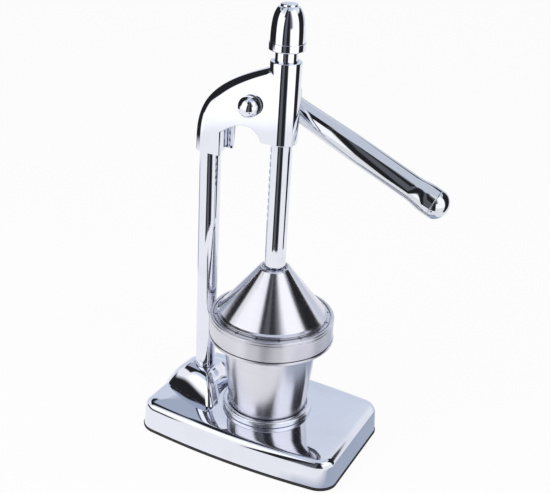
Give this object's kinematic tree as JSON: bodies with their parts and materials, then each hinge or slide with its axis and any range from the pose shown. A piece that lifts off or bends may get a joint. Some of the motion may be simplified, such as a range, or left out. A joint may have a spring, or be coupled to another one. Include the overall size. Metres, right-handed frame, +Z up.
{
  "type": "lever citrus press",
  "caption": "Hand lever citrus press: a rack and pinion head lowers a bell onto a fluted strainer over a funnel ring and cup.",
  "frame": {"origin": "on the rubber mat's flat underside, straight below the axis of the rod, bell, strainer and cup", "axes": "+Z up along the rod; +X from the post towards the rod and the resting lever's grip; +Y to the side the lever is on"},
  "size_m": [0.2345, 0.1272, 0.385],
  "materials": {
    "chrome_plate": "bright chrome plate, mirror smooth",
    "satin_steel": "spun stainless steel, fine satin polish",
    "fastener_steel": "plain machined steel",
    "bush_bronze": "plain sintered bronze",
    "mat_rubber": "matt black moulded rubber"
  },
  "bodies": {
    "frame": {"base_mat": "mat_rubber", "base_pan": "chrome_plate", "post_dome": "chrome_plate", "stiffener_plate": "fastener_steel", "cup_seat_ring": "chrome_plate", "post_tube": "chrome_plate", "post_foot_plug": "fastener_steel", "post_bolt": "fastener_steel", "post_washer": "fastener_steel", "head_casting": "chrome_plate", "head_set_screw": "fastener_steel", "near_bush": "bush_bronze", "far_bush": "bush_bronze", "cup": "satin_steel", "funnel_band": "satin_steel", "funnel_collar": "satin_steel", "funnel_cone": "satin_steel", "funnel_spout": "satin_steel", "strainer": "satin_steel"},
    "lever": {"pinion": "fastener_steel", "pinion_shaft": "fastener_steel", "pinion_pin": "fastener_steel", "near_washer": "fastener_steel", "dome_nut": "chrome_plate", "thrust_washer": "bush_bronze", "lever_arm": "chrome_plate", "lever_end_cap": "chrome_plate", "lever_washer": "fastener_steel", "lever_screw": "fastener_steel"},
    "rod": {"rack_rod": "chrome_plate", "knob": "chrome_plate", "knob_stud": "fastener_steel", "bell_spacer": "chrome_plate", "bell_washer": "fastener_steel", "bell_screw": "fastener_steel"},
    "bell": {"press_bell": "satin_steel"}
  },
  "joints": [
    {"name": "lever_turn", "type": "hinge", "parent": "frame", "child": "lever", "pos_m": [-0.023, 0, 0.3034], "axis": [0, -1, 0], "range_deg": [0, 228]},
    {"name": "rod_slide", "type": "slide", "parent": "frame", "child": "rod", "axis": [0, 0, 1], "range_m": [0, 0.064]},
    {"name": "bell_swivel", "type": "hinge", "parent": "rod", "child": "bell", "pos_m": [0, 0, 0.1614], "axis": [0, 0, 1], "continuous": true}
  ],
  "couplings": [
    {"joint": "rod_slide", "follows": "lever_turn", "m_per_rad": 0.016}
  ]
}
